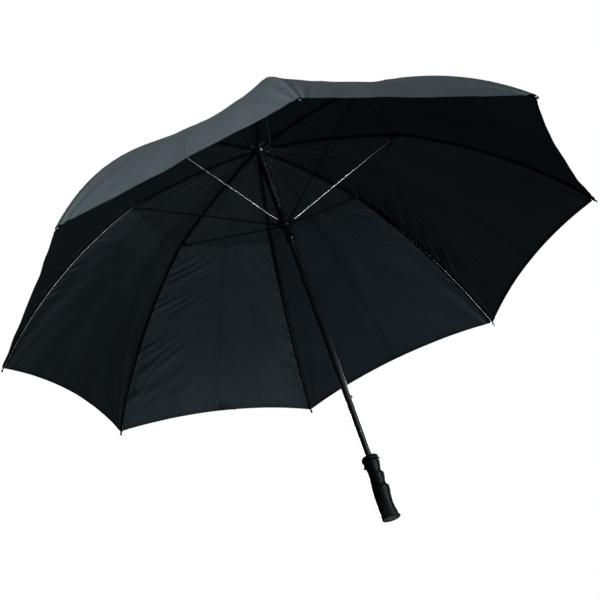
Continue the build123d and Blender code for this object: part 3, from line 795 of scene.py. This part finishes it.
# ------------------------------------------------------------------------------------------
# grip: moulded rubber sleeve with finger lobes, recess, collar and a pocket for the button
# ------------------------------------------------------------------------------------------
# height, finger side, thumb side, half depth
GRIP = [
    (0.0, 14.2, 14.4, 14.0), (0.0, 16.6, 16.8, 16.4), (0.5, 17.9, 18.1, 17.7), (1.4, 18.5, 18.8, 18.3), (3.0, 18.6, 18.9, 18.4), (6.0, 18.3, 18.9, 18.2),
    (12.0, 17.3, 18.8, 17.8), (18.0, 16.5, 18.7, 17.3), (24.0, 16.0, 18.6, 17.0), (30.0, 15.7, 18.6, 16.8), (36.0, 15.8, 18.5, 16.8),
    (42.0, 16.3, 18.4, 17.0), (48.0, 17.1, 18.3, 17.2), (53.0, 18.0, 18.2, 17.5), (57.0, 18.8, 18.1, 17.8), (60.0, 19.3, 18.0, 17.8),
    (61.8, 19.35, 17.9, 17.8), (63.2, 19.0, 17.85, 17.6), (64.6, 18.0, 17.75, 17.2), (66.0, 16.7, 17.6, 16.7), (67.6, 15.5, 17.4, 16.2),
    (69.4, 14.9, 17.2, 15.9), (72.0, 14.8, 16.8, 15.6), (76.0, 15.3, 16.2, 15.4), (80.0, 15.9, 15.7, 15.4), (84.0, 16.7, 15.3, 15.5),
    (88.0, 17.5, 15.0, 15.6), (90.6, 17.9, 14.8, 15.6), (92.2, 17.9, 14.8, 15.5), (93.6, 17.4, 14.7, 15.3), (95.0, 16.2, 14.6, 15.0),
    (96.4, 14.9, 14.6, 14.8), (98.0, 13.9, 14.6, 14.6), (100.0, 13.8, 14.6, 14.5), (103.0, 14.3, 14.8, 14.6), (106.0, 15.1, 15.1, 14.9),
    (110.0, 16.1, 15.6, 15.4), (113.0, 16.8, 15.95, 15.8), (116.0, 17.3, 16.3, 16.2), (118.6, 17.6, 16.6, 16.5), (119.6, 17.5, 16.5, 16.4),
    (120.1, 17.0, 15.9, 15.9), (120.4, 16.4, 15.4, 15.5), (121.6, 16.2, 15.2, 15.3), (121.9, 16.6, 15.7, 15.8), (122.0, 17.4, 17.2, 17.2),
    (122.3, 17.9, 17.9, 17.9), (122.9, 18.4, 18.4, 18.4), (123.8, 18.6, 18.6, 18.6), (125.0, 18.5, 18.5, 18.5), (126.8, 18.2, 18.2, 18.2),
    (128.6, 17.6, 17.6, 17.6), (130.2, 16.5, 16.5, 16.5), (131.4, 15.0, 15.0, 15.0), (132.3, 12.9, 12.9, 12.9), (132.8, 10.6, 10.6, 10.6),
    (133.0, 8.6, 8.6, 8.6), (132.7, 7.6, 7.6, 7.6), (131.8, 7.02, 7.02, 7.02), (129.0, 6.9, 6.9, 6.9),
]
P0, P1, PW, PFLOOR = 110.0, 119.0, 4.5, -8.4      # button pocket
st = np.array(GRIP)
st[:, 0] += np.where(st[:, 0] > 119.59, 2.0, 0)      # recess and collar above the button
zs = [st[0]]
for a_, b_ in zip(st, st[1:]):
    n_ = max(1, int(math.ceil(np.linalg.norm(b_[:2] - a_[:2]) / 1.6)))
    zs += [a_ + (b_ - a_) * i / n_ for i in range(1, n_ + 1)]
st = np.array(zs)
# rows right at the pocket's upper and lower edges
extra = []
for zc in (P0 - 0.12, P0 + 0.12, P1 - 0.12, P1 + 0.12):
    i = np.searchsorted(st[:, 0][(st[:, 0] < 119.5)], zc)
    f_ = (zc - st[i - 1, 0]) / (st[i, 0] - st[i - 1, 0])
    extra.append(st[i - 1] + (st[i] - st[i - 1]) * f_)
body = st[st[:, 0] < 119.3]
body = np.array(sorted(list(body[2:]) + extra, key=lambda r: r[0]))
keep = np.r_[True, np.diff(body[:, 0]) > 0.05]
st = np.vstack([st[:2], body[keep], st[st[:, 0] >= 119.3]])
# the angular columns are denser round the pocket, with pairs at its side walls
edge_deg = [math.degrees(math.asin(w / 15.8)) for w in (PW - 0.12, PW + 0.12)]
side = np.r_[0, 5.5, 11, edge_deg[0], edge_deg[1], 22, 28, 36, np.linspace(45, 180, 30)]
degs = np.r_[180 - side[::-1], 180 + side[1:-1]]
verts = []
for z, xp, xm, hy in st:
    for dg in degs:
        a_ = math.radians(dg)
        c_, s_ = math.cos(a_), math.sin(a_)
        x_ = (xp if c_ > 0 else xm) * c_
        # slightly squarer than an ellipse, as a palm-shaped handle is
        q_ = 1.0 / (abs(c_) ** 2.15 + abs(s_) ** 2.15) ** (1 / 2.15)
        x_, y_ = x_ * (q_ if z < 119 else 1), hy * s_ * (q_ if z < 119 else 1)
        if P0 < z < P1 and abs(y_) < PW and c_ < 0:
            x_ = PFLOOR
        verts.append((x_ * MM, y_ * MM, z * MM))
cols = len(degs)
gf = grid_faces(len(st), cols, wrap=True)
# the end face: a chamfered rim round a plug that sits a little deeper
ring0 = len(verts)
for sc_, z in ((0.955, 0.55), (0.93, 0.75), (0.90, 0.62), (0.45, 0.55), (0.02, 0.52)):
    verts += [(verts[j][0] * sc_, verts[j][1] * sc_, z * MM) for j in range(cols)]
rings = [0] + [ring0 + i * cols for i in range(5)]
for r0_, r1_ in zip(rings, rings[1:]):
    gf += [(r0_ + (j + 1) % cols, r0_ + j, r1_ + j, r1_ + (j + 1) % cols) for j in range(cols)]
gf.append(tuple(rings[-1] + j for j in range(cols))[::-1])
gf.append(tuple((len(st) - 1) * cols + j for j in range(cols)))
sleeve = new_mesh("grip_sleeve", verts, gf, M_GRIP)
sharp_by_angle(sleeve, 48)
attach(sleeve, "root")
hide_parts("grip")

# button: a low rounded plate with a small thumb ridge at its lower end
bv, bf = [], []
ny_, nz_ = 19, 25
yy = np.linspace(-1, 1, ny_)
zz_ = np.linspace(-1, 1, nz_)
Z_, Y_ = np.meshgrid(zz_, yy, indexing="ij")
hw, hh = 4.2, 4.2
# rounded-rectangle outline from a square grid
kx = np.maximum(np.abs(Y_), np.abs(Z_))
ln_ = (np.abs(Y_) ** 5 + np.abs(Z_) ** 5) ** (1 / 5.0)
sq = np.where(ln_ > 1e-6, kx / np.maximum(ln_, 1e-6), 1)
yb, zb = Y_ * sq * hw, Z_ * sq * hh
crown = 1 - np.clip(kx, 0, 1) ** 6
xb = -16.9 - 0.9 * crown - 1.75 * np.exp(-((zb + 1.2) / 1.15) ** 2) * np.exp(-(yb / 2.9) ** 4)
front = np.stack([xb, yb, zb + (P0 + P1) / 2], -1).reshape(-1, 3)
back = np.stack([np.full_like(yb, -14.9), yb * 0.98, zb * 0.98 + (P0 + P1) / 2], -1).reshape(-1, 3)
bv = np.vstack([front, back]) * MM
bf = grid_faces(nz_, ny_, flip=False) + [tuple(i + ny_ * nz_ for i in f)[::-1] for f in grid_faces(nz_, ny_, flip=False)]
rim = [j for j in range(ny_)] + [i * ny_ + ny_ - 1 for i in range(1, nz_)] + [(nz_ - 1) * ny_ + j for j in range(ny_ - 2, -1, -1)] + [i * ny_ for i in range(nz_ - 2, 0, -1)]
off_ = ny_ * nz_
bf += [(rim[i], rim[i] + off_, rim[(i + 1) % len(rim)] + off_, rim[(i + 1) % len(rim)]) for i in range(len(rim))]
cap = new_mesh("button_cap", bv, bf, M_BUTTON)
import bmesh
bm = bmesh.new()
bm.from_mesh(cap.data)
bmesh.ops.recalc_face_normals(bm, faces=bm.faces)
bm.to_mesh(cap.data)
bm.free()
sharp_by_angle(cap, 50)
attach(cap, [b for b in frame["bodies"] if "button" in b][0])
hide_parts("push_button")

# the button's spring: wound wire between the button's back and the pocket's floor
bu = np.linspace(0, 1, 4 * 24 + 1)
bang = 2 * math.pi * 4 * bu
bx0, bx1 = -14.6, -8.7
bpath = np.stack([bx0 + (bx1 - bx0) * bu, 2.4 * np.cos(bang), (P0 + P1) / 2 + 2.4 * np.sin(bang)], -1) * MM
bspring = tube("button_coil", bpath, 0.27 * MM, M_STEEL, seg=8)
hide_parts("button_spring")
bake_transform(bspring)

# ------------------------------------------------------------------------------------------
# small parts on every rib: peened rivet heads, thread ties
# ------------------------------------------------------------------------------------------
RIVET = (289.0, 833.0)


def rod_point(x):
    """Centre of the outer rod at radius x, and its slope direction."""
    z = np.interp(x, bx_, bz_)
    d = np.interp(x + 2, bx_, bz_) - np.interp(x - 2, bx_, bz_)
    t_ = Vector((4, 0, d)).normalized()
    return Vector((x, 0, float(z))), t_


def tie(name, c, t_, r_, rise, turns_):
    """Sewing thread wound round a bar and up into the cloth above it. c is the bar's centre, t_ its direction."""
    up = Vector((-t_.z, 0, t_.x))
    side_ = Vector((0, 1, 0))
    pts = []
    m_ = turns_ * 20
    for i in range(m_ + 1):
        a_ = 2 * math.pi * turns_ * i / m_
        h_ = math.cos(a_)
        pts.append(c + t_ * (1.5 * (i / m_ - 0.5) + 0.25 * math.sin(2.3 * a_)) + side_ * (r_ * math.sin(a_))
                   + up * ((r_ + (rise - r_) * max(0.0, h_) ** 1.5) * h_ if h_ > 0 else r_ * h_))
    return tube(name, [tuple(p_ * MM) for p_ in pts], 0.24 * MM, M_THREAD, seg=7)


for k in range(1, N + 1):
    turn = Matrix.Rotation(math.radians(45 * (k - 1)), 4, "Z")
    heads = []
    for sg in (1, -1):
        prof_ = [(0.0, 0.0), (1.15, 0.0), (1.15, 0.15), (1.95, 0.2), (2.05, 0.42), (1.9, 0.75), (1.5, 1.02), (0.95, 1.17), (0.55, 1.2), (0.3, 1.12), (0.0, 1.1)]
        m_ = turn @ Matrix.Translation((RIVET[0] * MM, sg * 3.6 * MM, RIVET[1] * MM)) @ Matrix.Rotation(-sg * math.pi / 2, 4, "X")
        heads.append(lathe("h", [(a_ * MM, b_ * MM) for a_, b_ in prof_], M_BRASS, seg=20, matrix=m_, closed_ends=True))
    o = join(f"rivet_heads_{k}", heads)
    sharp_by_angle(o, 40)
    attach(o, f"rib_{k}")
    ties = []
    for x_ in (352 + 4 * math.sin(2.1 * k), 424 + 6 * math.sin(1.3 * k + 1), 492 + 5 * math.sin(1.7 * k + 2), 566 + 4 * math.sin(k)):
        c_, t_ = rod_point(x_)
        ties.append(tie("t", c_, t_, 2.15, 4.4, 4))
    o = join(f"tie_threads_{k}", ties)
    for p_ in o.data.vertices:
        p_.co = turn @ p_.co
    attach(o, f"rod_{k}")
    ties = []
    for x_ in (118 + 6 * math.sin(1.9 * k), 205 + 7 * math.sin(2.7 * k + 1)):
        z_ = float(rib_z(x_))
        t_ = Vector((4, 0, float(rib_z(x_ + 2) - rib_z(x_ - 2)))).normalized()
        ties.append(tie("t", Vector((x_, 0, z_)), t_, 2.75, 4.6, 3))
    o = join(f"rib_threads_{k}", ties)
    for p_ in o.data.vertices:
        p_.co = turn @ p_.co
    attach(o, f"rib_{k}")

# ------------------------------------------------------------------------------------------
# camera, lights, floor
# ------------------------------------------------------------------------------------------
scene = bpy.context.scene
cam_data = bpy.data.cameras.new("camera")
cam = bpy.data.objects.new("camera", cam_data)
scene.collection.objects.link(cam)
cam_data.sensor_width = 36.0
cam_data.sensor_fit = "HORIZONTAL"
cam_data.lens = 92.3838
cam_data.clip_start, cam_data.clip_end = 0.05, 100
R = Matrix(((0.953962, 0.273232, -0.123695), (0.021947, -0.474904, -0.879764), (-0.299123, 0.836547, -0.459037)))
cam.matrix_world = Matrix.Translation((-0.41983536, -2.80846212, -0.95520759)) @ R.to_4x4()
scene.camera = cam

world = bpy.data.worlds.new("studio")
scene.world = world
world.use_nodes = True
bg = world.node_tree.nodes["Background"]
wt = world.node_tree
# the backdrop is plain white; the light that falls on the object is a dim room with a brighter ceiling
wc = wt.nodes.new("ShaderNodeTexCoord")
ws = wt.nodes.new("ShaderNodeSeparateXYZ")
wr = wt.nodes.new("ShaderNodeMapRange")
wt.links.new(wc.outputs["Generated"], ws.inputs[0])
wt.links.new(ws.outputs[2], wr.inputs["Value"])
for name, value in (("From Min", -0.10), ("From Max", 0.80), ("To Min", 0.004), ("To Max", 0.05)):
    wr.inputs[name].default_value = value
room = wt.nodes.new("ShaderNodeBackground")
room.inputs["Color"].default_value = (0.90, 0.96, 1.0, 1)
wt.links.new(wr.outputs[0], room.inputs["Strength"])
bg.inputs["Color"].default_value = (1, 1, 1, 1)
bg.inputs["Strength"].default_value = 1.0
wl = wt.nodes.new("ShaderNodeLightPath")
wm = wt.nodes.new("ShaderNodeMixShader")
wt.links.new(wl.outputs["Is Camera Ray"], wm.inputs[0])
wt.links.new(room.outputs[0], wm.inputs[1])
wt.links.new(bg.outputs[0], wm.inputs[2])
wo = [n for n in wt.nodes if n.type == "OUTPUT_WORLD"][0]
wt.links.new(wm.outputs[0], wo.inputs["Surface"])
scene.view_settings.view_transform = "Standard"
scene.view_settings.look = "None"


def area_light(name, loc, target, size, power, color=(1, 1, 1)):
    d = bpy.data.lights.new(name, "AREA")
    d.shape = "DISK"
    d.size = size
    d.energy = power
    d.color = color
    o = bpy.data.objects.new(name, d)
    scene.collection.objects.link(o)
    o.location = loc
    o.rotation_mode = "QUATERNION"
    o.rotation_quaternion = (Vector(target) - Vector(loc)).to_track_quat("-Z", "Y")
    return o


# soft boxes on a ring round the canopy: direction they come from (azimuth, elevation) and power
for name, az, el, power, size in (("back", 90, 9, 255, 1.2), ("back_right", 45, 9, 122, 1.2), ("top_left", 225, 45, 78, 1.8),
                                  ("top_front", 270, 45, 70, 1.8), ("top_right", 315, 45, 22, 1.8), ("low_front", 311, -24, 42, 1.0),
                                  ("low_right", 0, -35, 7, 1.8), ("overhead", 0, 88, 15, 1.8)):
    a_, e_ = math.radians(az), math.radians(el)
    d_ = Vector((math.cos(a_) * math.cos(e_), math.sin(a_) * math.cos(e_), math.sin(e_)))
    area_light(name, Vector((0, 0, 0.7)) + d_ * 3.4, (0, 0, 0.7), size, power * 1.05, (0.85, 0.955, 1.0)).visible_camera = False

for name, target, az, el, dist, size, power, spread in (("grip_side", (0, 0, 0.09), 305, 20, 1.7, 0.95, 0.34, 22),
                                                        ("grip_end", (0, 0, 0.0), 80, -20, 1.3, 0.5, 0.010, 14),
                                                        ("frame_side", (0, 0, 0.79), 325, -28, 1.5, 0.30, 0.13, 14)):
    a_, e_ = math.radians(az), math.radians(el)
    d_ = Vector((math.cos(a_) * math.cos(e_), math.sin(a_) * math.cos(e_), math.sin(e_)))
    lo_ = area_light(name, Vector(target) + d_ * dist, target, size, power, (0.88, 0.98, 1.0))
    lo_.data.spread = math.radians(spread)
    lo_.visible_camera = False

floor = new_mesh("floor", [(9 * math.cos(a), 9 * math.sin(a), -1.35) for a in np.linspace(0, 2 * math.pi, 96, endpoint=False)],
                 [tuple(range(96))])
fm = Mat("floor_paint")
fv = fm.coords()
fm.link(fm.mix(fm.remap(fm.noise(fv, 3, 4), 0.0, 1.0), (0.055, 0.055, 0.055), (0.065, 0.065, 0.065)), fm.p.inputs["Base Color"])
fm.set(Roughness=0.95)
fm.p.inputs["Specular IOR Level"].default_value = 0.0
fm.p.inputs["Emission Color"].default_value = (0.96, 0.97, 0.98, 1)
fm.p.inputs["Emission Strength"].default_value = 0.66
floor.data.materials.append(fm.m)
floor.visible_diffuse = False
floor.visible_glossy = False
